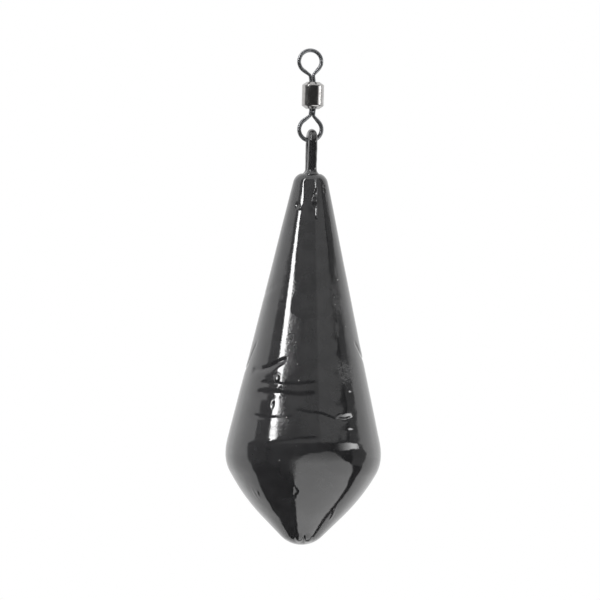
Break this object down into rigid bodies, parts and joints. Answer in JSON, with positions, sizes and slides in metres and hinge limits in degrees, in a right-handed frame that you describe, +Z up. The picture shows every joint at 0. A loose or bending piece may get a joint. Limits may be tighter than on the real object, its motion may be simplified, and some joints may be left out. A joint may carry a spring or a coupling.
{
  "type": "fishing sinker",
  "caption": "Black-coated cast lead casting sinker, a long cone over a short rounded one, hung by its wire loop from a small rolling barrel swivel.",
  "frame": {"origin": "centre of the hole in the swivel's upper ring, where the line is tied", "axes": "+Z up, along the swivel and the sinker, which hangs down along -Z; +Y through the holes of both rings; +X across them"},
  "size_m": [0.0226, 0.0226, 0.0723],
  "materials": {
    "cast_lead": "dull grey as cast",
    "black_film": "thick glossy black dip coating with runs, folds and specks",
    "loop_steel": "drawn steel wire",
    "bright_nickel": "bright nickel plate on brass",
    "black_nickel": "dark nickel plate on drawn steel wire"
  },
  "bodies": {
    "upper_eye": {"swivel_upper_eye": "black_nickel"},
    "barrel": {"swivel_barrel": "bright_nickel"},
    "lower_eye": {"swivel_lower_eye": "black_nickel"},
    "sinker": {"lead_core": "cast_lead", "coating": "black_film", "wire_loop": "loop_steel"}
  },
  "joints": [
    {"name": "barrel_spin", "type": "hinge", "parent": "upper_eye", "child": "barrel", "pos_m": [0, 0, -0.00497], "axis": [0, 0, 1], "continuous": true},
    {"name": "lower_eye_spin", "type": "hinge", "parent": "barrel", "child": "lower_eye", "pos_m": [0, 0, -0.00497], "axis": [0, 0, 1], "continuous": true},
    {"name": "sinker_swing", "type": "hinge", "parent": "lower_eye", "child": "sinker", "pos_m": [0, 0, -0.01158], "axis": [1, 0, 0], "range_deg": [-138, 138]}
  ]
}
